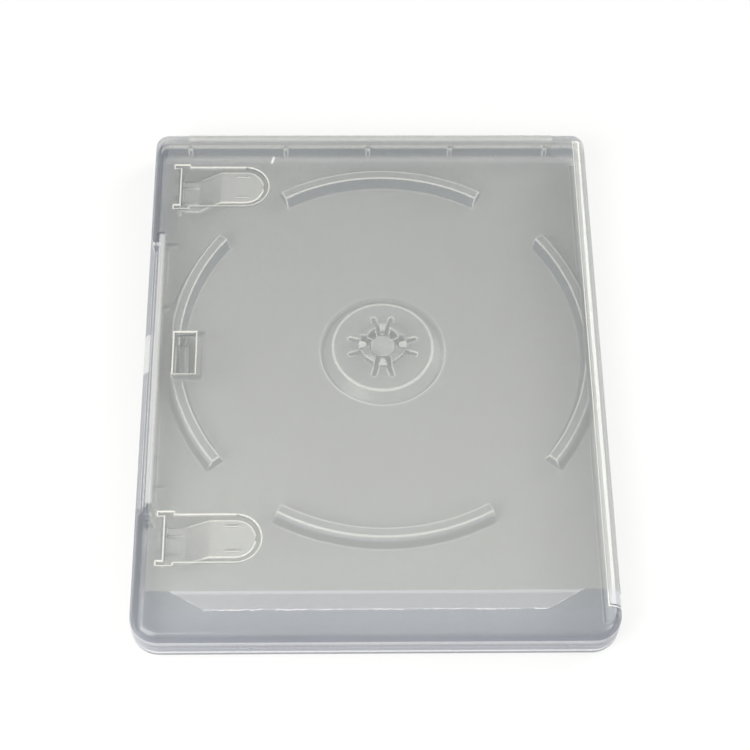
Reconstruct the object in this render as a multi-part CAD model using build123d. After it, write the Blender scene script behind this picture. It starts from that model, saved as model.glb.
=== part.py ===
from build123d import *
import os
from math import radians, sin, sqrt

# Hinged case for one disc: a tray, a spine and a front cover moulded in one shot with
# two living hinges, inside a clear film sleeve. Lengths are in millimetres. X runs from
# the free edge to the spine, Y from the plain band to the far edge, Z from back to front.

# Whole case, film included
case_width = 135.0
case_length = 171.0
case_thickness = 14.0
near_corner_radius = 8.0
far_corner_radius = 4.0
edge_round = 3.5
wall = 1.3
parting_height = 7.8
parting_gap = 0.2

# Sleeve film
film_thickness = 0.15
film_gap = 0.03
band_length = 14.3
film_margin = 4.2
flap_base = 114.0
flap_tip = 94.0
flap_length = 6.0
far_flap_drop = 5.2
far_flap_taper = 2.4

# Spine and its living hinges
hinge_web = 0.45
hinge_gap = 0.3
spine_near_inset = 10.0
spine_far_inset = 4.6
spine_end_gap = 0.4

# Finger recess in the free edge
recess_depth = 3.2
recess_length = 92.0
recess_shift = 1.0
recess_lip = 3.2

# Disc and its place on the tray
disc_radius = 60.0
disc_hole_radius = 7.5
disc_x = 3.0
disc_y = 12.3

# Hub: seat, snap ring cut into petals, and a push button on four arms
seat_height = 2.4
seat_radius = 15.0
seat_flare = 4.2
hub_clearance = 0.25
bead_clearance = 0.08
grip_height = 1.6
bead_rise = 0.5
lead_in = 1.0
ring_wall = 2.35
button_gap = 1.0
button_rise = 0.4
slot_width = 1.2
slot_reach = 10.6
slot_angle = 15.5
button_sides = 8

# Ridges round the edge of the disc
ridge_clearance = 0.8
ridge_height = 4.2
ridge_top = 2.9
ridge_inner_run = 1.3
ridge_outer_run = 2.2
ridge_trim = 7.2
end_ridge_half_angle = 29.3
side_ridge_half_angle = 38.5

# Ribs inside the far wall of the tray
far_rib_width = 1.6
far_rib_depth = 1.0
far_rib_drop = 4.2
far_rib_shift = -0.8
far_rib_spacings = (-56.2, -26.0, 0.0, 26.0, 56.2)

# Booklet clips of the cover
clip_stations = (64.2, -55.3)
clip_root_inset = 7.75
clip_reach = 26.6
clip_width = 11.6
clip_thickness = 1.1
clip_relief = 1.25
clip_neck_depth = 4.0
clip_neck_length = 5.2
clip_ramp_length = 7.0
clip_lobe_drop = 0.6
clip_bend = 0.45
clip_notch_width = 0.95
clip_notch_ahead = 2.2
clip_tooth_length = 1.9
clip_tooth_depth = 2.2
clip_tooth_spacing = 6.6
clip_rib_height = 0.4
clip_rib_width = 0.7
clip_rib_length = 4.2
clip_neck_rib_spacing = 6.0
clip_lobe_rib_spacing = 7.6

# Disc stop of the cover, in its window
stop_y = 4.55
stop_root_inset = 7.8
stop_width = 11.6
stop_thickness = 1.1
stop_drop = 4.4
stop_foot = 3.8
stop_window_width = 13.9
stop_window_reach = 6.3
stop_frame_width = 16.0
stop_frame_reach = 2.6
stop_frame_depth = 2.0

# Gussets between the cover and its free-edge wall
rib_thickness = 0.9
gusset_depth = 3.6
gusset_foot = 1.2
gusset_stations = (43.6, 21.2, -29.3, -38.6)
gusset_lengths = (3.9, 2.4, 1.9, 3.9)

# Faces of the moulding, inside the film
skin = film_thickness + film_gap
free_edge = -case_width / 2
spine_face = case_width / 2 - skin
near_edge = -case_length / 2
far_face = case_length / 2 - skin
back_face = skin
front_face = case_thickness - skin
floor_face = back_face + wall
ceiling = front_face - wall
tray_rim = parting_height - parting_gap / 2
cover_rim = parting_height + parting_gap / 2

# Places that several pieces share
hinge_x = spine_face - edge_round
spine_near = near_edge + spine_near_inset
spine_far = far_face - spine_far_inset
film_line = near_edge + band_length
film_far = far_face - far_corner_radius
recess_near = recess_shift - recess_length / 2
recess_far = recess_shift + recess_length / 2
recess_wall_x = free_edge + recess_depth
recess_inner_x = recess_wall_x + wall
seat_face = floor_face + seat_height
hub_radius = disc_hole_radius - hub_clearance
bead_radius = disc_hole_radius - bead_clearance
ring_inner = hub_radius - ring_wall
button_radius = ring_inner - button_gap
clip_root_x = free_edge + clip_root_inset
clip_front_x = clip_root_x + clip_thickness
clip_ramp_x = clip_front_x + clip_neck_length
clip_lobe_x = clip_ramp_x + clip_ramp_length
clip_tip_x = clip_root_x + clip_reach
clip_neck_face = ceiling - clip_neck_depth
clip_lobe_face = front_face - clip_lobe_drop
stop_root_x = free_edge + stop_root_inset
stop_front_x = stop_root_x + stop_thickness

# Limits well outside the case, for cuts that pass right through
beyond = case_length
EVERYWHERE = (-beyond, beyond)


def span(x_limits, y_limits, z_limits):
    """Box between two limits on each axis."""
    limits = (x_limits, y_limits, z_limits)
    centre = [(low + high) / 2 for low, high in limits]
    size = [high - low for low, high in limits]
    return Pos(*centre) * Box(*size)


def case_block(inset):
    """Rounded block of the closed case, shrunk (or grown) on every face."""
    outline = Rectangle(spine_face - free_edge - 2 * inset, far_face - near_edge - 2 * inset)
    outline = fillet(outline.vertices().group_by(Axis.Y)[0], near_corner_radius - inset)
    outline = fillet(outline.vertices().group_by(Axis.Y)[-1], far_corner_radius - inset)
    block = extrude(outline, front_face - back_face - 2 * inset)
    faces = block.faces().sort_by(Axis.Z)
    block = fillet(faces[0].edges() + faces[-1].edges(), edge_round - inset)
    centre_x = (free_edge + spine_face) / 2
    centre_y = (near_edge + far_face) / 2
    return Pos(centre_x, centre_y, back_face + inset) * block


def finger_pocket():
    """Space under the free edge for a finger, between two curled lips."""
    plan = ((-beyond, recess_wall_x), (recess_near, recess_far))
    mouth = span(*plan, (recess_lip, case_thickness - recess_lip))
    return mouth + (span(*plan, EVERYWHERE) & case_block(wall))


def leaf_shell():
    """Floor, walls and ceiling of the tray and cover, with the spine's place left open."""
    recess_wall = span(
        (-beyond, recess_inner_x), (recess_near - wall, recess_far + wall), EVERYWHERE
    )
    hinge_zone = span(
        (hinge_x, beyond), (spine_near - spine_end_gap, spine_far + spine_end_gap), EVERYWHERE
    )
    cavity = case_block(wall) - recess_wall
    return case_block(0) - cavity - finger_pocket() - hinge_zone


def at_disc(z=0):
    """Place on the disc's axis at a height."""
    return Pos(disc_x, disc_y, z)


def upright_cone(foot_radius, top_radius, height):
    """Cone standing on its foot."""
    return Cone(foot_radius, top_radius, height, align=(Align.CENTER, Align.CENTER, Align.MIN))


def revolved(points, degrees=360):
    """Solid of a radius and height outline, turned about Z from the X axis."""
    outline = make_face(Polyline(*points, close=True))
    return revolve(Plane.XZ * outline, Axis.Z, degrees)


def button_plan():
    """Outline of the push button."""
    return Rot(0, 0, 180 / button_sides) * RegularPolygon(button_radius, button_sides)


def hub_seat():
    """Raised seat with the snap ring and button that stand on it, still whole."""
    hub_top = seat_face + grip_height + 2 * bead_rise + lead_in
    seat = Pos(0, 0, floor_face) * upright_cone(seat_radius + seat_flare, seat_radius, seat_height)
    ring = revolved(
        [
            (ring_inner, seat_face - wall),
            (hub_radius, seat_face - wall),
            (hub_radius, seat_face + grip_height),
            (bead_radius, seat_face + grip_height + bead_rise),
            (hub_radius, seat_face + grip_height + 2 * bead_rise),
            (hub_radius - lead_in, hub_top),
            (ring_inner, hub_top),
        ]
    )
    button = Pos(0, 0, seat_face - wall) * extrude(button_plan(), wall + button_rise)
    return at_disc() * (seat + ring + button)


def hub_cuts():
    """Hollow under the seat, slots beside the arms, gap round the button, low arm ring."""
    hollow = Pos(0, 0, back_face - wall) * upright_cone(
        seat_radius + seat_flare - wall + seat_flare * wall / seat_height,
        seat_radius - wall,
        seat_height + wall,
    )
    arm_half_width = hub_radius * sin(radians(slot_angle))
    arms = Box(beyond, 2 * arm_half_width, beyond) + Box(2 * arm_half_width, beyond, beyond)
    gap = Circle(ring_inner) - button_plan()
    gap = Pos(0, 0, back_face) * extrude(gap, beyond) - arms
    slot_length = slot_reach - button_radius
    slot = Pos(button_radius + slot_length / 2, 0, back_face) * extrude(
        SlotOverall(slot_length, slot_width), beyond
    )
    low_arms = arms & Pos(0, 0, seat_face + grip_height) * Cylinder(
        hub_radius + wall, beyond, align=(Align.CENTER, Align.CENTER, Align.MIN)
    )
    low_arms -= Cylinder(ring_inner, 2 * beyond)
    cuts = hollow + gap + low_arms
    for quarter in range(4):
        for side in (-1, 1):
            cuts += Rot(0, 0, 90 * quarter + side * slot_angle) * slot
    return at_disc() * cuts


def disc_ridge(direction, half_angle):
    """Curved ridge beside the disc's edge, centred on a direction in degrees."""
    inner_top = disc_radius + ridge_clearance
    inner_foot = inner_top - ridge_inner_run
    outer_top = inner_top + ridge_top
    outer_foot = outer_top + ridge_outer_run
    root = floor_face - wall / 2
    ridge = revolved(
        [
            (inner_foot, root),
            (inner_foot, floor_face),
            (inner_top, floor_face + ridge_height),
            (outer_top, floor_face + ridge_height),
            (outer_foot, floor_face),
            (outer_foot, root),
        ],
        2 * half_angle,
    )
    room = span((free_edge + ridge_trim, hinge_x), (near_edge + wall, far_face - wall), EVERYWHERE)
    return at_disc() * Rot(0, 0, direction - half_angle) * ridge & room


def far_ribs():
    """Short upright ribs inside the far wall of the tray."""
    inner_face = far_face - wall
    y_limits = (inner_face - far_rib_depth, far_face - wall / 2)
    z_limits = (tray_rim - far_rib_drop, tray_rim)
    ribs = []
    for spacing in far_rib_spacings:
        x = far_rib_shift + spacing
        ribs.append(span((x - far_rib_width / 2, x + far_rib_width / 2), y_limits, z_limits))
    return ribs


def disc_tray():
    """Back leaf, which carries the disc."""
    tray = leaf_shell() & span(EVERYWHERE, EVERYWHERE, (-beyond, tray_rim))
    tray += far_ribs()
    for direction in (90, 270):
        tray += disc_ridge(direction, end_ridge_half_angle)
    for direction in (0, 180):
        tray += disc_ridge(direction, side_ridge_half_angle)
    return tray + hub_seat() - hub_cuts()


def spine():
    """Middle leaf: a stiff strip between two thin curved hinge webs."""
    block = case_block(0)
    room = span((hinge_x + hinge_gap, beyond), (spine_near, spine_far), EVERYWHERE)
    webs = (block - case_block(hinge_web)) & room
    strip_heights = (back_face + edge_round, front_face - edge_round)
    strip = (block - case_block(wall)) & room & span(EVERYWHERE, EVERYWHERE, strip_heights)
    return webs + strip


def keyhole(x_start, half_width):
    """Plan of a tongue with a round end, about the middle line of a clip."""
    round_x = clip_tip_x - clip_width / 2
    strip = Pos((x_start + round_x) / 2, 0) * Rectangle(round_x - x_start, 2 * half_width)
    return strip + Pos(round_x, 0) * Circle(half_width)


def clip_tongue():
    """Bent tongue: down from the cover, along the neck, up the ramp to the lobe."""
    root_half_width = clip_width / 2 + clip_relief
    rise = clip_lobe_face - clip_neck_face
    mitre = clip_thickness * (sqrt(clip_ramp_length**2 + rise**2) - clip_ramp_length) / rise
    root_top = ceiling + wall / 2
    neck_under = clip_neck_face - clip_thickness
    lobe_under = clip_lobe_face - clip_thickness
    side = make_face(
        Polyline(
            (clip_root_x, root_top),
            (clip_root_x, neck_under),
            (clip_ramp_x + mitre, neck_under),
            (clip_lobe_x + mitre, lobe_under),
            (clip_tip_x, lobe_under),
            (clip_tip_x, clip_lobe_face),
            (clip_lobe_x, clip_lobe_face),
            (clip_ramp_x, clip_neck_face),
            (clip_front_x, clip_neck_face),
            (clip_front_x, root_top),
            close=True,
        )
    )
    side = fillet(side.vertices(), clip_bend)
    strip = extrude(Plane.XZ * side, root_half_width, both=True)
    root = Pos(clip_root_x + clip_thickness / 2, 0) * Rectangle(clip_thickness, 2 * root_half_width)
    plan = keyhole(clip_root_x, clip_width / 2) + root
    return strip & extrude(plan, case_thickness)


def clip_ribs():
    """Fine raised ribs on the neck and on the lobe of a clip."""
    neck_mid = (clip_front_x + clip_ramp_x) / 2
    lobe_mid = (clip_lobe_x + clip_tip_x) / 2
    ribs = []
    for x, face, spacing in (
        (neck_mid, clip_neck_face, clip_neck_rib_spacing),
        (lobe_mid, clip_lobe_face, clip_lobe_rib_spacing),
    ):
        for y in (-spacing / 2, spacing / 2):
            ribs.append(
                span(
                    (x - clip_rib_length / 2, x + clip_rib_length / 2),
                    (y - clip_rib_width / 2, y + clip_rib_width / 2),
                    (face - clip_thickness / 2, face + clip_rib_height),
                )
            )
    return ribs


def wedge_rib(x_start, length, depth, foot, direction=1):
    """Rib under the cover in the XZ plane, deep where it starts and shallow at its end."""
    top = ceiling + wall / 2
    x_end = x_start + direction * length
    outline = make_face(
        Polyline(
            (x_start, top),
            (x_end, top),
            (x_end, ceiling - foot),
            (x_start, ceiling - depth),
            close=True,
        )
    )
    return extrude(Plane.XZ * outline, rib_thickness / 2, both=True)


def booklet_clip():
    """Tongue with its ribs and the teeth behind its root, about its middle line."""
    clip = clip_tongue() + clip_ribs()
    tooth_root = clip_root_x + clip_thickness / 2
    tooth_length = clip_tooth_length + clip_thickness / 2
    for y in (-clip_tooth_spacing / 2, clip_tooth_spacing / 2):
        clip += Pos(0, y, 0) * wedge_rib(tooth_root, tooth_length, clip_tooth_depth, 0, -1)
    return clip


def clip_window():
    """Keyhole through the cover round a clip, with a relief notch at each end of its root."""
    half_width = clip_width / 2 + clip_relief
    plan = keyhole(clip_front_x, half_width)
    notch_length = clip_notch_width + clip_thickness + clip_notch_ahead
    notch_x = clip_root_x - clip_notch_width + notch_length / 2
    for side in (-1, 1):
        y = side * (half_width + clip_notch_width / 2)
        plan += Pos(notch_x, y) * Rectangle(notch_length, clip_notch_width)
    return Pos(0, 0, ceiling - wall) * extrude(plan, beyond)


def disc_stop():
    """Hanging hook that keeps the disc on its hub, and the frame of ribs round its window."""
    half_width = stop_width / 2
    foot_face = ceiling - stop_drop
    foot_under = foot_face - stop_thickness
    y_limits = (stop_y - half_width, stop_y + half_width)
    upright = span((stop_root_x, stop_front_x), y_limits, (foot_under, ceiling + wall / 2))
    foot = span((stop_root_x, stop_front_x + stop_foot), y_limits, (foot_under, foot_face))
    frame_x = stop_front_x + stop_window_reach + stop_frame_reach
    frame_half = stop_frame_width / 2
    frame_heights = (ceiling - stop_frame_depth, ceiling + wall / 2)
    frame = span(
        (frame_x - rib_thickness, frame_x), (stop_y - frame_half, stop_y + frame_half), frame_heights
    )
    for side in (-1, 1):
        y_outer = stop_y + side * frame_half
        y_inner = y_outer - side * rib_thickness
        side_limits = (min(y_outer, y_inner), max(y_outer, y_inner))
        frame += span((stop_front_x, frame_x), side_limits, frame_heights)
    return upright + foot + frame


def stop_window():
    """Window through the cover above the foot of the disc stop."""
    half_width = stop_window_width / 2
    return span(
        (stop_front_x, stop_front_x + stop_window_reach),
        (stop_y - half_width, stop_y + half_width),
        (ceiling - wall / 2, beyond),
    )


def gussets():
    """Ribs that stiffen the free-edge wall of the cover."""
    root_x = recess_inner_x - wall / 2
    ribs = []
    for y, length in zip(gusset_stations, gusset_lengths):
        ribs.append(Pos(0, y, 0) * wedge_rib(root_x, length + wall / 2, gusset_depth, gusset_foot))
    return ribs


def front_cover():
    """Front leaf with the booklet clips and the disc stop."""
    cover = leaf_shell() & span(EVERYWHERE, EVERYWHERE, (cover_rim, beyond))
    cover += gussets()
    for y in clip_stations:
        cover -= Pos(0, y, 0) * clip_window()
        cover += Pos(0, y, 0) * booklet_clip()
    return cover - stop_window() + disc_stop()


def film_skin():
    """Film thickness all round the closed case."""
    return case_block(-skin) - case_block(-film_gap)


def sleeve_back():
    """Film over the back leaf."""
    x_limits = (free_edge + film_margin, hinge_x)
    return film_skin() & span(x_limits, (film_line, film_far), (-beyond, parting_height))


def sleeve_spine():
    """Film round the spine and both hinge webs."""
    return film_skin() & span((hinge_x + hinge_gap, beyond), (film_line, spine_far), EVERYWHERE)


def near_flap():
    """Plan of the loose flap that lies on the plain band."""
    plan = Polyline(
        (-flap_base / 2, film_line + flap_length),
        (flap_base / 2, film_line + flap_length),
        (flap_base / 2, film_line),
        (flap_tip / 2, film_line - flap_length),
        (-flap_tip / 2, film_line - flap_length),
        (-flap_base / 2, film_line),
        close=True,
    )
    return Pos(0, 0, front_face) * extrude(make_face(plan), beyond)


def far_flap():
    """Room of the flap that is folded down over the far edge."""
    foot = case_thickness - far_flap_drop
    shoulder = front_face - edge_round / 2
    outline = Polyline(
        (-flap_base / 2, beyond),
        (-flap_base / 2, shoulder),
        (-flap_base / 2 + far_flap_taper, foot),
        (flap_base / 2 - far_flap_taper, foot),
        (flap_base / 2, shoulder),
        (flap_base / 2, beyond),
        close=True,
    )
    return Pos(0, film_far - flap_length, 0) * extrude(Plane.XZ * make_face(outline), -beyond)


def sleeve_front():
    """Film over the front leaf, with its two flaps."""
    x_limits = (free_edge + film_margin, hinge_x)
    room = span(x_limits, (film_line, film_far), (parting_height, beyond))
    return film_skin() & (room + near_flap() + far_flap())


NODES = (disc_tray, spine, front_cover, sleeve_back, sleeve_spine, sleeve_front)

os.makedirs("parts", exist_ok=True)
for node in NODES:
    export_step(node(), f"parts/{node.__name__}.step")
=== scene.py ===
import random
from math import cos, pi, radians, sin
from types import SimpleNamespace

import bmesh
import bpy
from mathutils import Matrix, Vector
from mathutils.bvhtree import BVHTree


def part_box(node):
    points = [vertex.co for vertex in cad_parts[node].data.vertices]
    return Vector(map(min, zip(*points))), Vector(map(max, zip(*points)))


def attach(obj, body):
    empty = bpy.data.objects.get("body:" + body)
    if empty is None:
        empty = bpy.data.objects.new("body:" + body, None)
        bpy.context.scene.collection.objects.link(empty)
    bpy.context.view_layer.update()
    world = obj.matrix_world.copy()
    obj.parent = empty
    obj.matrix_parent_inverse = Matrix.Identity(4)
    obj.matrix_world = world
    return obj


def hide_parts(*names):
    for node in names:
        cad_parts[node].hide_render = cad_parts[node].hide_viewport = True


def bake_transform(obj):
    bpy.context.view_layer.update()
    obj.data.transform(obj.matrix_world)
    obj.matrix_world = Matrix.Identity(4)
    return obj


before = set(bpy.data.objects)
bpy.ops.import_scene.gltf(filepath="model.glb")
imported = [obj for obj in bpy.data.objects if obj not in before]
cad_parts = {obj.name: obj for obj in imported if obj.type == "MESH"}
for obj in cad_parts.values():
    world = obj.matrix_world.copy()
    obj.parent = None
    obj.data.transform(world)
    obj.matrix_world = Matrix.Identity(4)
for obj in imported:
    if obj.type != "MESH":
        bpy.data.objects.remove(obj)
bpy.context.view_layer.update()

# Lengths are in metres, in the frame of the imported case: X from the free edge to the spine,
# Y from the plain band to the far edge, Z from the back to the front cover.
MM = 0.001

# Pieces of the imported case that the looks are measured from
tray_low, tray_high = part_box("disc_tray")
cover_low, cover_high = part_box("front_cover")
spine_low, spine_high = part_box("spine")
back_film_low, back_film_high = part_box("sleeve_back")
front_film_low, front_film_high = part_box("sleeve_front")
spine_film_low, spine_film_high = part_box("sleeve_spine")

# Places that several pieces share
hinge_x = back_film_high.x
edge_round = spine_high.x - hinge_x
film_line = spine_film_low.y
film_far = back_film_high.y
film_thickness = back_film_high.z - back_film_low.z
film_left = back_film_low.x
bend_low_z = tray_low.z + edge_round
bend_high_z = cover_high.z - edge_round

# Moulding: thin walls, soft edges, and the angles that count as sharp
WALL = 1.3 * MM
HINGE_WEB = 0.45 * MM
SOFT_EDGE = 0.45 * MM
SOFT_ANGLE = radians(25)
SHARP_ANGLE = radians(32)
STRAY = 0.15 * MM

# Film: its flaps, its ragged cut and one scuff
FLAP_BASE = 114.0 * MM
FLAP_TIP = 94.0 * MM
FAR_FLAP_TAPER = 2.4 * MM
CUT_RAGGEDNESS = 0.16 * MM
CUT_LINE = 0.25 * MM
NEAR_FOLD = 1.3 * MM
FOLD_WHITE = 0.24
SCUFF = (-30.6 * MM, 74.0 * MM)
SCUFF_SLOPE = 0.3
BEND_STEPS = 14

# Painted light on the moulding: highlights on edges, small faces, parting line, sprung tongues, recess
# bar, wall lines
HOLLOW_HIGHLIGHT = 0.12
SMALL_FACE = 80 * MM**2
SMALL_FACE_HIGHLIGHT = 0.9
FACING_UP = 0.35
PARTING_BAND = 1.5 * MM
OUTER_PARTING_FADE = 0.92
SPRUNG_HIGHLIGHT = 0.25
STOP_Y = 4.55 * MM
STOP_TIP = -53.0 * MM
STOP_HIGHLIGHT = 0.6
RECESS_MIDDLE = 1.0 * MM
RECESS_LENGTH = 92.0 * MM
RECESS_HIGHLIGHT = 0.5
FREE_WALL = -63.0 * MM
GUSSET_BAND = 3.4 * MM
FOOT_LINE = 4.9 * MM
# Top of a painted contact shadow at the foot of the outer walls
CONTACT_SHADOW_TOP = 3.9 * MM
WALL_HIGHLIGHT = 0.5

# Plastic colours: tone is what the milk scatters, tint is what passes through; the shade, highlight and
# contact shadow colours among them are painted light
PLASTIC_IOR = 1.6
MILK_TONE = (0.93, 0.95, 0.98, 1)
# Painted shade: bluish darker colour of the steep inner walls
SHADED_TONE = (0.62, 0.68, 0.8, 1)
# Outer walls and roundings: painted shade, darker and bluish
OUTER_SHADE_TONE = (0.6, 0.63, 0.7, 1)
# Painted highlight: colour of the whitened edges and lines
HIGHLIGHT_TONE = (0.98, 0.98, 0.96, 1)
# Painted contact shadow at the foot of the outer walls
CONTACT_SHADOW_TONE = (0.34, 0.35, 0.37, 1)
MILK_TINT = (0.97, 0.975, 0.98, 1)
BAND_TINT = (0.94, 0.952, 0.968, 1)
# Painted shade: darker tint of what the steep inner walls let through
SHADED_TINT = (0.36, 0.4, 0.46, 1)
# Outer walls and roundings: painted shade in what passes through
OUTER_SHADE_TINT = (0.54, 0.57, 0.63, 1)
FILM_TONE = (0.96, 0.98, 0.95, 1)
FLAP_TONE = (0.9, 0.92, 0.99, 1)
FOLD_TONE = (0.98, 0.96, 0.97, 1)
FILM_TINT = (0.985, 0.985, 0.975, 1)

# Stage and camera
FLOOR_DROP = 0.05 * MM
FLOOR_COLOUR = (0.97, 0.97, 0.97, 1)
TABLE_GREY = (0.6, 0.6, 0.61, 1)
FLOOR_GLOW = 0.7
BRIGHT_SIDE = (-0.1, -0.55, 0.83)
ROOM_DIM = (0.18, 0.192, 0.215, 1)
ROOM_BRIGHT = (0.74, 0.72, 0.695, 1)
BACKDROP = (0.84, 0.84, 0.84, 1)
PHOTO_SIDE = 750
FOCAL_PIXELS = 1878.0


def add_piece(name, mesh, body, slot, *nodes):
    """Put a finished mesh in the scene as a piece that rides on a body."""
    piece = bpy.data.objects.new(name, mesh)
    bpy.context.scene.collection.objects.link(piece)
    if nodes:
        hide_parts(*nodes)
    if body:
        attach(piece, body)
    return piece


def finished_mesh(work):
    """Mesh of a work object with its modifiers taken in; the work object is removed."""
    depsgraph = bpy.context.evaluated_depsgraph_get()
    mesh = bpy.data.meshes.new_from_object(work.evaluated_get(depsgraph))
    mesh.name = work.name
    bpy.data.objects.remove(work)
    return mesh


def shade_by_angle(mesh):
    """Smooth shading with sharp edges where faces meet at more than the sharp angle."""
    mesh.polygons.foreach_set("use_smooth", [True] * len(mesh.polygons))
    mesh.set_sharp_from_angle(angle=SHARP_ANGLE)


def highlight_small_faces(shape, mark):
    """Mark level faces by how small their smooth patch is; small features get a painted highlight."""
    unseen = set(shape.faces)
    while unseen:
        patch = []
        waiting = [unseen.pop()]
        while waiting:
            face = waiting.pop()
            patch.append(face)
            for edge in face.edges:
                if edge.calc_face_angle(pi) < SOFT_ANGLE:
                    fresh = unseen.intersection(edge.link_faces)
                    unseen -= fresh
                    waiting.extend(fresh)
        area = sum(face.calc_area() for face in patch)
        smallness = max(1 - area / SMALL_FACE, 0.0)
        for face in patch:
            face[mark] = smallness * SMALL_FACE_HIGHLIGHT * (abs(face.normal.z) > FACING_UP)


def keep_on_solid(shape, solid):
    """Move vertices that the bevel threw off back to the solid."""
    for vertex in shape.verts:
        on_solid, _, _, gap = solid.find_nearest(vertex.co)
        if gap > STRAY:
            vertex.co = on_solid
    shape.normal_update()


def highlight_edges(shape, mark):
    """Round the sharp edges a little and mark the roundings for a painted highlight, less in hollow
    corners.
    """
    solid = BVHTree.FromBMesh(shape)
    sharp = [edge for edge in shape.edges if edge.calc_face_angle(0) > SOFT_ANGLE]
    rounded = bmesh.ops.bevel(
        shape, geom=sharp, offset=SOFT_EDGE, offset_type="OFFSET", segments=3, profile=0.75,
        affect="EDGES", clamp_overlap=False,
    )
    keep_on_solid(shape, solid)
    for face in set(rounded["faces"]):
        middle = face.calc_center_median()
        around = {other for edge in face.edges for other in edge.link_faces} - {face}
        rise = sum((other.calc_center_median() - middle).dot(face.normal) for other in around)
        face[mark] = HOLLOW_HIGHLIGHT if rise > 0 else 1.0


def moulded_mesh(node):
    """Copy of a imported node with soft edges, smooth on its roundings and flat on its flats."""
    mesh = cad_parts[node].data.copy()
    shape = bmesh.new()
    shape.from_mesh(mesh)
    bmesh.ops.remove_doubles(shape, verts=shape.verts, dist=0.001 * MM)
    mark = shape.faces.layers.float.new("edge")
    highlight_small_faces(shape, mark)
    highlight_edges(shape, mark)
    shape.to_mesh(mesh)
    shape.free()
    mesh.materials.clear()
    shade_by_angle(mesh)
    work = bpy.data.objects.new(node + "_work", mesh)
    bpy.context.scene.collection.objects.link(work)
    flats = work.modifiers.new("flat faces stay flat", "WEIGHTED_NORMAL")
    flats.keep_sharp = True
    return finished_mesh(work)


# Node helpers

def new_material(name):
    """Material with an empty node tree and its output node."""
    material = bpy.data.materials.new(name)
    material.use_nodes = True
    material.node_tree.nodes.clear()
    output = material.node_tree.nodes.new("ShaderNodeOutputMaterial")
    return material, material.node_tree, output


def add_node(tree, kind, inputs, **settings):
    """Node of a kind; its inputs, by name or number, take a value or a link."""
    node = tree.nodes.new(kind)
    for key, value in settings.items():
        setattr(node, key, value)
    for key, value in inputs.items():
        if isinstance(value, bpy.types.NodeSocket):
            tree.links.new(value, node.inputs[key])
        else:
            node.inputs[key].default_value = value
    return node


def calc(tree, operation, *values, clamp=False):
    """Result of a math node."""
    inputs = dict(enumerate(values))
    node = add_node(tree, "ShaderNodeMath", inputs, operation=operation, use_clamp=clamp)
    return node.outputs[0]


def ramp(tree, value, low, high, bottom=0.0, top=1.0):
    """Smooth step from bottom to top while the value goes from low to high."""
    limits = {0: value, 1: low, 2: high, 3: bottom, 4: top}
    node = add_node(tree, "ShaderNodeMapRange", limits, interpolation_type="SMOOTHSTEP")
    return node.outputs[0]


def mix_colour(tree, factor, first, second):
    """Colour between two colours."""
    node = add_node(tree, "ShaderNodeMix", {0: factor, 6: first, 7: second}, data_type="RGBA")
    return node.outputs[2]


def mix_shader(tree, factor, first, second):
    """Shader between two shaders."""
    return add_node(tree, "ShaderNodeMixShader", {0: factor, 1: first, 2: second}).outputs[0]


def noise(tree, coordinates, scale, detail):
    """Value of a noise texture on object coordinates."""
    inputs = {"Vector": coordinates.outputs["Object"], "Scale": scale, "Detail": detail}
    return add_node(tree, "ShaderNodeTexNoise", inputs).outputs[0]


def distance_from(tree, value, centre):
    """Distance of a value from a centre, without its sign."""
    return calc(tree, "ABSOLUTE", calc(tree, "SUBTRACT", value, centre))


def band(tree, value, centre, half_width):
    """Soft stripe: 1 where the value is at the centre, 0 from the half width on."""
    return ramp(tree, distance_from(tree, value, centre), half_width, half_width * 0.4)


def dot(tree, first, second):
    """Dot product of two vectors."""
    inputs = {0: first, 1: second}
    return add_node(tree, "ShaderNodeVectorMath", inputs, operation="DOT_PRODUCT").outputs["Value"]


def product(tree, *values):
    """Product of several values."""
    result = values[0]
    for value in values[1:]:
        result = calc(tree, "MULTIPLY", result, value)
    return result


def strongest(tree, *values):
    """Largest of several values."""
    top = values[0]
    for value in values[1:]:
        top = calc(tree, "MAXIMUM", top, value)
    return top


def milky_plastic(tree, output, haze, tone, tint, glow, gloss_roughness, normal=None):
    """Thin milky plastic: haze and gloss where light enters a piece, clear where it leaves."""
    facing = {"Normal": normal} if normal else {}
    geometry = add_node(tree, "ShaderNodeNewGeometry", {})
    outside = calc(tree, "SUBTRACT", 1.0, geometry.outputs["Backfacing"])
    lit = add_node(tree, "ShaderNodeBsdfDiffuse", {"Color": tone, **facing})
    passed = add_node(tree, "ShaderNodeBsdfTranslucent", {"Color": tone, **facing})
    milk = mix_shader(tree, glow, lit.outputs[0], passed.outputs[0])
    clear = add_node(tree, "ShaderNodeBsdfTransparent", {"Color": tint})
    body = mix_shader(tree, calc(tree, "MULTIPLY", haze, outside), clear.outputs[0], milk)
    fresnel = add_node(tree, "ShaderNodeFresnel", {"IOR": PLASTIC_IOR})
    share = calc(tree, "MULTIPLY", fresnel.outputs[0], outside)
    gloss = add_node(tree, "ShaderNodeBsdfGlossy", {"Roughness": gloss_roughness, **facing})
    tree.links.new(mix_shader(tree, share, body, gloss.outputs[0]), output.inputs["Surface"])


def read_surface(tree):
    """What the moulding's materials read: coordinates, x, y, z and how the surface faces."""
    coordinates = add_node(tree, "ShaderNodeTexCoord", {})
    position = coordinates.outputs["Object"]
    normal = coordinates.outputs["Normal"]
    x, y, z = add_node(tree, "ShaderNodeSeparateXYZ", {0: position}).outputs
    up = add_node(tree, "ShaderNodeSeparateXYZ", {0: normal}).outputs[2]
    level = calc(tree, "ABSOLUTE", up)
    return SimpleNamespace(
        coordinates=coordinates,
        x=x,
        y=y,
        z=z,
        up=up,
        level=level,
        steep=ramp(tree, level, 0.9, 0.1),
        outside=ramp(tree, dot(tree, normal, position), -5 * MM, 5 * MM),
        above_tray=ramp(tree, z, tray_high.z + 0.3 * MM, tray_high.z + 0.7 * MM),
    )


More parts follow.
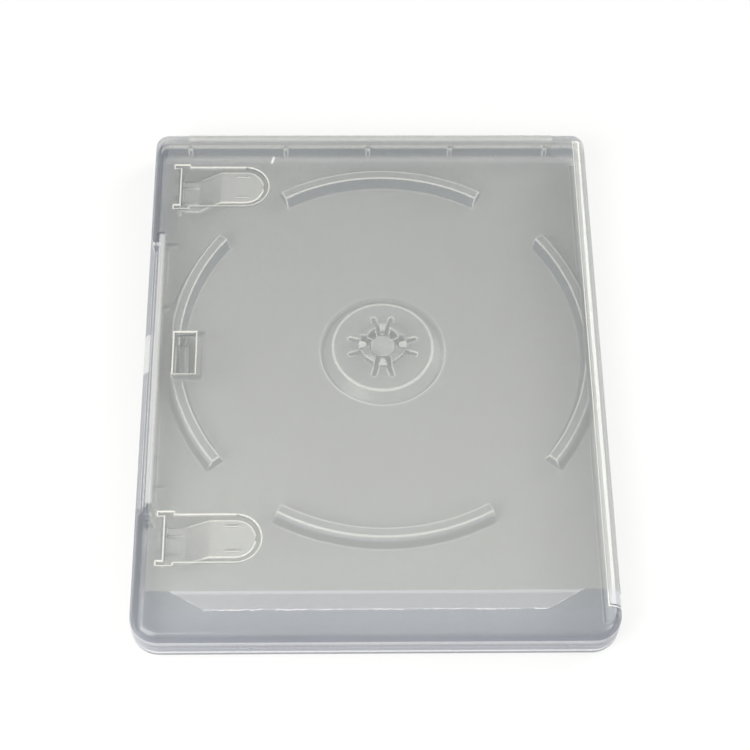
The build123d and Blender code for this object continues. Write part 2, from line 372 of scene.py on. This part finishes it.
def edge_highlight(tree, spot, rim):
    """Painted highlight on the edges and on the inner parting line; edges fade at the outer parting
    line.
    """
    edge = add_node(tree, "ShaderNodeAttribute", {}, attribute_name="edge").outputs["Fac"]
    parting = band(tree, spot.z, tray_high.z, PARTING_BAND)
    inner = calc(tree, "MULTIPLY", parting, calc(tree, "SUBTRACT", rim, spot.outside), clamp=True)
    outer = product(tree, parting, spot.outside)
    shown = calc(tree, "MULTIPLY_ADD", outer, -OUTER_PARTING_FADE, 1.0)
    return strongest(tree, product(tree, edge, shown), inner)


def recess_highlight(tree, spot):
    """Painted highlight on the bar behind the finger recess: the free wall and the gussets."""
    from_middle = distance_from(tree, spot.y, RECESS_MIDDLE)
    in_recess = ramp(tree, from_middle, RECESS_LENGTH / 2, RECESS_LENGTH / 2 - MM)
    free_wall = band(tree, spot.x, FREE_WALL - WALL / 2, WALL)
    gusset = product(tree, spot.steep, band(tree, spot.x, FREE_WALL + 2 * MM, GUSSET_BAND))
    return product(tree, strongest(tree, free_wall, gusset), in_recess)


def sprung_highlight(tree, spot):
    """Painted highlight on what lies lower than the cover's top: the booklet clips and the disc stop.
    """
    under_top = ramp(tree, spot.z, cover_high.z - 0.3 * MM, cover_high.z - 0.5 * MM)
    lowered = product(tree, spot.above_tray, under_top)
    off_ends = ramp(tree, calc(tree, "ABSOLUTE", spot.y), film_far - MM, film_far - 2 * MM)
    off_sides = ramp(tree, calc(tree, "ABSOLUTE", spot.x), hinge_x - MM, hinge_x - 2 * MM)
    tops = product(tree, ramp(tree, spot.up, 0.5, 0.7, 0.0, SPRUNG_HIGHLIGHT), off_ends, off_sides)
    across_stop = ramp(tree, distance_from(tree, spot.y, STOP_Y), 6.6 * MM, 6.2 * MM)
    stop = product(tree, across_stop, ramp(tree, spot.x, STOP_TIP, STOP_TIP - MM), STOP_HIGHLIGHT)
    return product(tree, lowered, strongest(tree, tops, stop))


def wall_highlight(tree, spot):
    """Painted highlight on the outer walls: a line above the foot, and a painted glow under the top
    rounding.
    """
    foot = band(tree, spot.z, FOOT_LINE, 0.7 * MM)
    glow = product(
        tree,
        ramp(tree, spot.z, tray_high.z, bend_high_z + 0.5 * MM, 0.0, 0.7),
        ramp(tree, spot.z, bend_high_z + 1.1 * MM, bend_high_z + 0.8 * MM),
    )
    return product(tree, strongest(tree, foot, glow), spot.steep, spot.outside)


def milky_polypropylene(name, thin_haze, rim):
    """Moulding: cloudy haze, painted highlights on edges and lines, painted shade on walls where it has
    a rim.
    """
    material, tree, output = new_material(name)
    spot = read_surface(tree)
    # Painted highlights on edges, parting line, clips, stop, recess bar and wall lines
    white = strongest(
        tree,
        edge_highlight(tree, spot, rim),
        sprung_highlight(tree, spot),
        product(tree, recess_highlight(tree, spot), RECESS_HIGHLIGHT * rim),
        product(tree, wall_highlight(tree, spot), WALL_HIGHLIGHT * rim),
    )
    # Painted shade on the steep inner walls; the cover's far inner wall is left out of it as painted
    # light
    lit_far = product(tree, spot.above_tray, ramp(tree, spot.y, film_far - 2 * MM, film_far))
    inside = calc(tree, "SUBTRACT", 1.0, strongest(tree, spot.outside, lit_far))
    shaded = product(tree, spot.steep, inside)
    # Outer walls and roundings where there is a rim: hazier milk and painted shade
    outer = product(tree, ramp(tree, spot.level, 0.95, 0.35), spot.outside, rim)
    # Painted contact shadow: the outer walls darken below a line near their foot
    contact_shadow = product(tree, outer, ramp(tree, spot.z, CONTACT_SHADOW_TOP + 0.3 * MM, CONTACT_SHADOW_TOP - 0.3 * MM))
    in_band = ramp(tree, spot.y, film_line, film_line - MM)
    cloud = noise(tree, spot.coordinates, 34.0, 0.0)
    haze = ramp(tree, cloud, 0.2, 0.8, thin_haze, thin_haze + 0.03)
    haze = calc(tree, "MULTIPLY_ADD", outer, 0.2, haze)
    haze = calc(tree, "MULTIPLY_ADD", white, 0.85, haze, clamp=True)
    # Tone: painted shade on inner and outer walls, painted highlight on edges and lines, painted
    # contact shadow at the foot
    tone = mix_colour(tree, shaded, MILK_TONE, SHADED_TONE)
    tone = mix_colour(tree, outer, tone, OUTER_SHADE_TONE)
    tone = mix_colour(tree, white, tone, HIGHLIGHT_TONE)
    tone = mix_colour(tree, contact_shadow, tone, CONTACT_SHADOW_TONE)
    tint = mix_colour(tree, in_band, MILK_TINT, BAND_TINT)
    tint = mix_colour(tree, shaded, tint, SHADED_TINT)
    tint = mix_colour(tree, outer, tint, OUTER_SHADE_TINT)
    milky_plastic(tree, output, haze, tone, tint, glow=0.1, gloss_roughness=0.22)
    return material


def film_scuff(tree, at):
    """Short slanted scuff on the film."""
    along = calc(tree, "MULTIPLY_ADD", at[0], SCUFF_SLOPE, at[1])
    across = calc(tree, "MULTIPLY_ADD", at[1], -SCUFF_SLOPE, at[0])
    return product(
        tree,
        band(tree, along, SCUFF[1] + SCUFF[0] * SCUFF_SLOPE, 1.9 * MM),
        band(tree, across, SCUFF[0] - SCUFF[1] * SCUFF_SLOPE, 0.6 * MM),
    )


def film_white(tree, at, coordinates):
    """White of the front film: its two folds, its scuff and its ragged cut."""
    near_fold = band(tree, at[1], film_line - NEAR_FOLD / 2, NEAR_FOLD / 2)
    far_fold = band(tree, at[1], film_far + 0.3 * MM, 0.45 * MM)
    folds = product(tree, strongest(tree, near_fold, far_fold), FOLD_WHITE)
    cut = add_node(tree, "ShaderNodeAttribute", {}, attribute_name="edge").outputs["Fac"]
    broken = ramp(tree, noise(tree, coordinates, 500.0, 0.0), 0.35, 0.65, 0.15, 0.8)
    front = ramp(tree, at[2], bend_low_z, bend_high_z)
    lines = strongest(tree, folds, film_scuff(tree, at), product(tree, cut, broken))
    return product(tree, lines, front)


def clear_film():
    """Film: thin warm haze, thicker towards the near side as a painted sheen, wavy gloss, and whitened
    folds, cut edge and scuff.
    """
    material, tree, output = new_material("clear_film")
    coordinates = add_node(tree, "ShaderNodeTexCoord", {})
    at = add_node(tree, "ShaderNodeSeparateXYZ", {0: coordinates.outputs["Object"]}).outputs
    waves = noise(tree, coordinates, 60.0, 0.0)
    bump = {"Strength": 0.05, "Distance": MM, "Height": waves}
    wavy = add_node(tree, "ShaderNodeBump", bump).outputs[0]
    white = film_white(tree, at, coordinates)
    loose = ramp(tree, at[1], film_line, film_line - 0.2 * MM)
    far_flap = ramp(tree, at[1], film_far, film_far + MM)
    # Painted sheen: the haze, and so the film's lightness, grows from the far end towards the near side
    haze = ramp(tree, at[1], film_far, film_line, 0.125, 0.175)
    haze = calc(tree, "MULTIPLY_ADD", loose, 0.05, haze)
    haze = calc(tree, "MULTIPLY_ADD", far_flap, 0.45, haze)
    haze = calc(tree, "MULTIPLY_ADD", white, 0.75, haze)
    tone = mix_colour(tree, loose, FILM_TONE, FLAP_TONE)
    tone = mix_colour(tree, white, tone, FOLD_TONE)
    milky_plastic(tree, output, haze, tone, FILM_TINT, glow=0.15, gloss_roughness=0.07, normal=wavy)
    return material


def floor_white():
    """Floor that the camera sees white, and grey like a table through the case."""
    material, tree, output = new_material("floor_white")
    path = add_node(tree, "ShaderNodeLightPath", {}).outputs
    through = calc(tree, "MINIMUM", path["Transparent Depth"], 1.0)
    colour = mix_colour(tree, through, FLOOR_COLOUR, TABLE_GREY)
    plain = add_node(tree, "ShaderNodeBsdfDiffuse", {"Color": colour}).outputs[0]
    glow = add_node(tree, "ShaderNodeEmission", {"Color": (1, 1, 1, 1), "Strength": 1.0}).outputs[0]
    seen = strongest(tree, path["Is Camera Ray"], path["Is Glossy Ray"])
    bare = calc(tree, "SUBTRACT", seen, through, clamp=True)
    shown = mix_shader(tree, product(tree, bare, FLOOR_GLOW), plain, glow)
    tree.links.new(shown, output.inputs["Surface"])
    return material


# Bent strips: hinge webs and the film over them

STRIP_SOCKETS = (
    ("Centre", "NodeSocketVector"),
    ("Outer radius", "NodeSocketFloat"),
    ("Thickness", "NodeSocketFloat"),
    ("Length", "NodeSocketFloat"),
    ("First angle", "NodeSocketFloat"),
    ("Last angle", "NodeSocketFloat"),
    ("Finish", "NodeSocketMaterial"),
)


def bent_strip_tree():
    """Node tree of a strip bent round a line along Y, from a first to a last angle."""
    tree = bpy.data.node_groups.new("bent strip", "GeometryNodeTree")
    for name, kind in STRIP_SOCKETS:
        tree.interface.new_socket(name=name, in_out="INPUT", socket_type=kind)
    tree.interface.new_socket(name="Strip", in_out="OUTPUT", socket_type="NodeSocketGeometry")
    sizes = tree.nodes.new("NodeGroupInput").outputs
    bar = add_node(tree, "GeometryNodeMeshCube", {"Size": (1, 1, 1), "Vertices X": BEND_STEPS + 1})
    here = add_node(tree, "GeometryNodeInputPosition", {})
    share = add_node(tree, "ShaderNodeSeparateXYZ", {0: here.outputs[0]}).outputs
    along = calc(tree, "ADD", share[0], 0.5)
    depth = calc(tree, "SUBTRACT", 0.5, share[2])
    sweep = calc(tree, "SUBTRACT", sizes["Last angle"], sizes["First angle"])
    angle = calc(tree, "MULTIPLY_ADD", along, sweep, sizes["First angle"])
    inwards = calc(tree, "MULTIPLY", depth, sizes["Thickness"])
    radius = calc(tree, "SUBTRACT", sizes["Outer radius"], inwards)
    outwards = calc(tree, "MULTIPLY", radius, calc(tree, "SINE", angle))
    sideways = calc(tree, "MULTIPLY", share[1], sizes["Length"])
    downwards = calc(tree, "MULTIPLY", radius, calc(tree, "COSINE", angle))
    upwards = calc(tree, "MULTIPLY", downwards, -1.0)
    bent = add_node(tree, "ShaderNodeCombineXYZ", {0: outwards, 1: sideways, 2: upwards})
    ends = {0: bent.outputs[0], 1: sizes["Centre"]}
    placed = add_node(tree, "ShaderNodeVectorMath", ends, operation="ADD")
    moved = add_node(
        tree, "GeometryNodeSetPosition", {"Geometry": bar.outputs[0], "Position": placed.outputs[0]}
    )
    real = add_node(tree, "GeometryNodeRealizeInstances", {0: moved.outputs[0]})
    finish = add_node(
        tree, "GeometryNodeSetMaterial", {"Geometry": real.outputs[0], "Material": sizes["Finish"]}
    )
    output = tree.nodes.new("NodeGroupOutput")
    tree.links.new(finish.outputs[0], output.inputs[0])
    return tree


def bent_strip(tree, name, sizes):
    """Plain mesh of one bent strip."""
    work = bpy.data.objects.new(name, bpy.data.meshes.new(name))
    bpy.context.scene.collection.objects.link(work)
    strip = work.modifiers.new("bent strip", "NODES")
    strip.node_group = tree
    for socket in tree.interface.items_tree:
        if socket.in_out == "INPUT":
            strip[socket.identifier] = sizes[socket.name]
    mesh = finished_mesh(work)
    shade_by_angle(mesh)
    return mesh


def plate(name, low, high, soft_edge, finish):
    """Thin plate between two corners, with softened edges."""
    mesh = bpy.data.meshes.new(name)
    shape = bmesh.new()
    bmesh.ops.create_cube(shape, size=1.0)
    for vertex in shape.verts:
        for axis in range(3):
            vertex.co[axis] = high[axis] if vertex.co[axis] > 0 else low[axis]
    bmesh.ops.bevel(
        shape, geom=shape.edges, offset=soft_edge, segments=2, profile=0.5,
        affect="EDGES", clamp_overlap=True,
    )
    shape.to_mesh(mesh)
    shape.free()
    mesh.materials.append(finish)
    shade_by_angle(mesh)
    return mesh


def bend_sizes(centre_z, outer_radius, thickness, y_limits, angles, finish):
    """Inputs of a bent strip over one of the hinges."""
    return {
        "Centre": (hinge_x, sum(y_limits) / 2, centre_z),
        "Outer radius": outer_radius,
        "Thickness": thickness,
        "Length": y_limits[1] - y_limits[0],
        "First angle": angles[0],
        "Last angle": angles[1],
        "Finish": finish,
    }


def hinged_layer(tree, layer, slot, node, outer_x, bend_thickness, flat_thickness, y_limits, finish):
    """Spine layer: a flat strip on the spine leaf and a bend at each hinge."""
    flat = plate(
        layer + "_flat",
        Vector((outer_x - flat_thickness, y_limits[0], bend_low_z)),
        Vector((outer_x, y_limits[1], bend_high_z)),
        flat_thickness * 0.2,
        finish,
    )
    add_piece(layer + "_flat", flat, "spine_leaf", slot, node)
    outer_radius = outer_x - hinge_x
    for side, centre_z, angles, bodies in (
        ("back", bend_low_z, (pi / 2, 0), ("tray_leaf", "spine_leaf")),
        ("front", bend_high_z, (pi, pi / 2), ("cover_leaf", "spine_leaf")),
    ):
        name = f"{layer}_{side}_bend"
        sizes = bend_sizes(centre_z, outer_radius, bend_thickness, y_limits, angles, finish)
        bend = add_piece(name, bent_strip(tree, name, sizes), None, slot)
        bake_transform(bend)


# Film sheets

def film_rows():
    """Rows of the front film from the near cut to the far one: Y, Z, half width or None."""
    top = front_film_high.z
    far_face = front_film_high.y
    foot = front_film_low.z
    radius = edge_round + top - cover_high.z
    near_cut = front_film_low.y + CUT_RAGGEDNESS
    flap_length = film_line - near_cut
    slant = (FLAP_BASE - FLAP_TIP) / 2 / flap_length
    near_steps, sheet_steps, wall_steps = 6, 30, 3
    rows = []
    for reach in (0.0, CUT_LINE, *(flap_length * step / near_steps for step in range(1, near_steps))):
        rows.append((near_cut + reach, top, FLAP_TIP / 2 + slant * reach))
    for step in range(sheet_steps + 1):
        rows.append((film_line + (film_far - film_line) * step / sheet_steps, top, None))
    shoulder = top - radius
    for step in range(BEND_STEPS + 1):
        angle = pi / 2 * step / BEND_STEPS
        place = far_face - radius * (1 - sin(angle)), shoulder + radius * cos(angle)
        rows.append((*place, FLAP_BASE / 2))
    for step in range(1, wall_steps + 1):
        share = step / wall_steps
        height = shoulder + (foot - shoulder) * share
        rows.append((far_face, height, FLAP_BASE / 2 - FAR_FLAP_TAPER * share))
    return rows


def film_columns():
    """Places across a flap, from -1 to 1, with a narrow column at each end."""
    count = 96
    inside = 1 - 2 * CUT_LINE / FLAP_BASE
    return [-1.0, *(inside * (2 * step / count - 1) for step in range(count + 1)), 1.0]


def front_film_mesh(finish):
    """Film over the front leaf with its near flap, cut a little ragged, and its far flap."""
    columns = film_columns()
    cut = random.Random(7)
    ragged = [cut.uniform(-1, 1) * CUT_RAGGEDNESS for _ in columns]
    shape = bmesh.new()
    mark = shape.faces.layers.float.new("edge")
    grid = []
    for index, (y, z, half) in enumerate(film_rows()):
        width = half or FLAP_BASE / 2
        line = []
        for column, offset in zip(columns, ragged):
            line.append(shape.verts.new((width * column, y + offset * (index < 2), z)))
        if half is None:
            line.insert(0, shape.verts.new((film_left, y, z)))
            line.append(shape.verts.new((hinge_x, y, z)))
        grid.append(line)
    for index, (lower, upper) in enumerate(zip(grid, grid[1:])):
        spare = (len(lower) - len(upper)) // 2
        lower = lower[max(spare, 0):len(lower) - max(spare, 0)]
        upper = upper[max(-spare, 0):len(upper) - max(-spare, 0)]
        last = len(lower) - 2
        for column in range(last + 1):
            face = shape.faces.new((lower[column], lower[column + 1], upper[column + 1], upper[column]))
            on_cut = index == 0 or column in (0, last)
            face[mark] = 1.0 if on_cut and upper[0].co.y < film_line + MM else 0.0
    return film_solid(shape, "sleeve_front_film", finish)


def film_solid(sheet, name, finish):
    """Closed film of the film's thickness, on the inner side of a sheet."""
    mesh = bpy.data.meshes.new(name)
    sheet.normal_update()
    sheet.to_mesh(mesh)
    sheet.free()
    mesh.materials.append(finish)
    work = bpy.data.objects.new(name, mesh)
    bpy.context.scene.collection.objects.link(work)
    thick = work.modifiers.new("film thickness", "SOLIDIFY")
    thick.thickness = film_thickness
    thick.offset = -1
    solid = finished_mesh(work)
    shade_by_angle(solid)
    return solid


def build_case():
    """All the pieces of the case; all but the hinge bends and the back film are put on their bodies."""
    tray_moulding = milky_polypropylene("milky_polypropylene_tray", 0.3, 1.0)
    cover_moulding = milky_polypropylene("milky_polypropylene_cover", 0.13, 1.0)
    # Heavy haze on the spine: its opaque milk, and a painted highlight that lightens the spine
    spine_moulding = milky_polypropylene("milky_polypropylene_spine", 0.6, 0.0)
    film = clear_film()
    for node, body, moulding in (
        ("disc_tray", "tray_leaf", tray_moulding),
        ("front_cover", "cover_leaf", cover_moulding),
    ):
        mesh = moulded_mesh(node)
        mesh.materials.append(moulding)
        add_piece(node + "_moulding", mesh, body, "moulding", node)
    tree = bent_strip_tree()
    hinged_layer(
        tree, "spine", "moulding", "spine", spine_high.x, HINGE_WEB, WALL, (spine_low.y, spine_high.y),
        spine_moulding,
    )
    hinged_layer(
        tree, "spine_film", "film", "sleeve_spine", spine_film_high.x,
        film_thickness, film_thickness, (film_line, spine_film_high.y), film,
    )
    add_piece("front_film", front_film_mesh(film), "cover_leaf", "film", "sleeve_front")
    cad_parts["sleeve_back"].data.materials.clear()
    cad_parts["sleeve_back"].data.materials.append(film)


# Stage: floor, light and camera

def softbox(name, place, aim, side, power, colour=(1, 1, 1)):
    """Square area lamp at a place, turned towards a point."""
    lamp = bpy.data.lights.new(name, "AREA")
    lamp.shape = "SQUARE"
    lamp.size = side
    lamp.energy = power
    lamp.color = colour
    holder = bpy.data.objects.new(name, lamp)
    bpy.context.scene.collection.objects.link(holder)
    holder.location = place
    holder.rotation_euler = (Vector(aim) - Vector(place)).to_track_quat("-Z", "Y").to_euler()


def build_world():
    """Room that is warm and bright above the near side, cool and dim beyond the far side."""
    world = bpy.data.worlds.new("studio")
    bpy.context.scene.world = world
    world.use_nodes = True
    tree = world.node_tree
    tree.nodes.clear()
    coordinates = add_node(tree, "ShaderNodeTexCoord", {})
    towards = dot(tree, coordinates.outputs["Generated"], BRIGHT_SIDE)
    room = mix_colour(tree, ramp(tree, towards, 0.34, 0.6), ROOM_DIM, ROOM_BRIGHT)
    path = add_node(tree, "ShaderNodeLightPath", {}).outputs
    seen = strongest(tree, path["Is Camera Ray"], path["Is Transmission Ray"])
    sky = add_node(tree, "ShaderNodeBackground", {"Color": mix_colour(tree, seen, room, BACKDROP)})
    output = tree.nodes.new("ShaderNodeOutputWorld")
    tree.links.new(sky.outputs[0], output.inputs[0])


def build_stage():
    """White floor, room light and lamps."""
    bpy.ops.mesh.primitive_plane_add(size=12.0, location=(0, 0, -FLOOR_DROP))
    floor = bpy.context.active_object
    floor.name = "floor"
    floor.data.materials.append(floor_white())
    build_world()
    softbox("key", (1.0, 0.55, 0.75), (0, 0, 0), 0.7, 8.0, (1.0, 0.98, 0.93))
    softbox("near left", (-0.3, -0.3, 0.4), (0, -0.04, 0), 0.35, 2.1, (1.0, 0.99, 0.96))
    softbox("corner glint", (0.9, -0.4, 0.6), (0.06, -0.08, 0), 0.25, 1.5)


def build_camera():
    """Camera at the photograph's viewing angle."""
    data = bpy.data.cameras.new("camera")
    data.sensor_width = 36.0
    data.lens = data.sensor_width * FOCAL_PIXELS / PHOTO_SIDE
    data.clip_start = 0.01
    camera = bpy.data.objects.new("camera", data)
    bpy.context.scene.collection.objects.link(camera)
    camera.location = (-0.009108, -0.276663, 0.488730)
    camera.rotation_euler = (0.5224, -0.0135, -0.0113)
    bpy.context.scene.camera = camera


def set_render():
    """Plain view transform, and light paths deep enough for all the clear layers."""
    scene = bpy.context.scene
    scene.view_settings.view_transform = "Standard"
    scene.cycles.denoising_input_passes = "RGB"
    scene.cycles.adaptive_threshold = 0.04
    scene.cycles.max_bounces = 4
    scene.cycles.diffuse_bounces = 1
    scene.cycles.glossy_bounces = 1
    scene.cycles.transmission_bounces = 2
    scene.cycles.transparent_max_bounces = 32


build_case()
build_stage()
build_camera()
set_render()
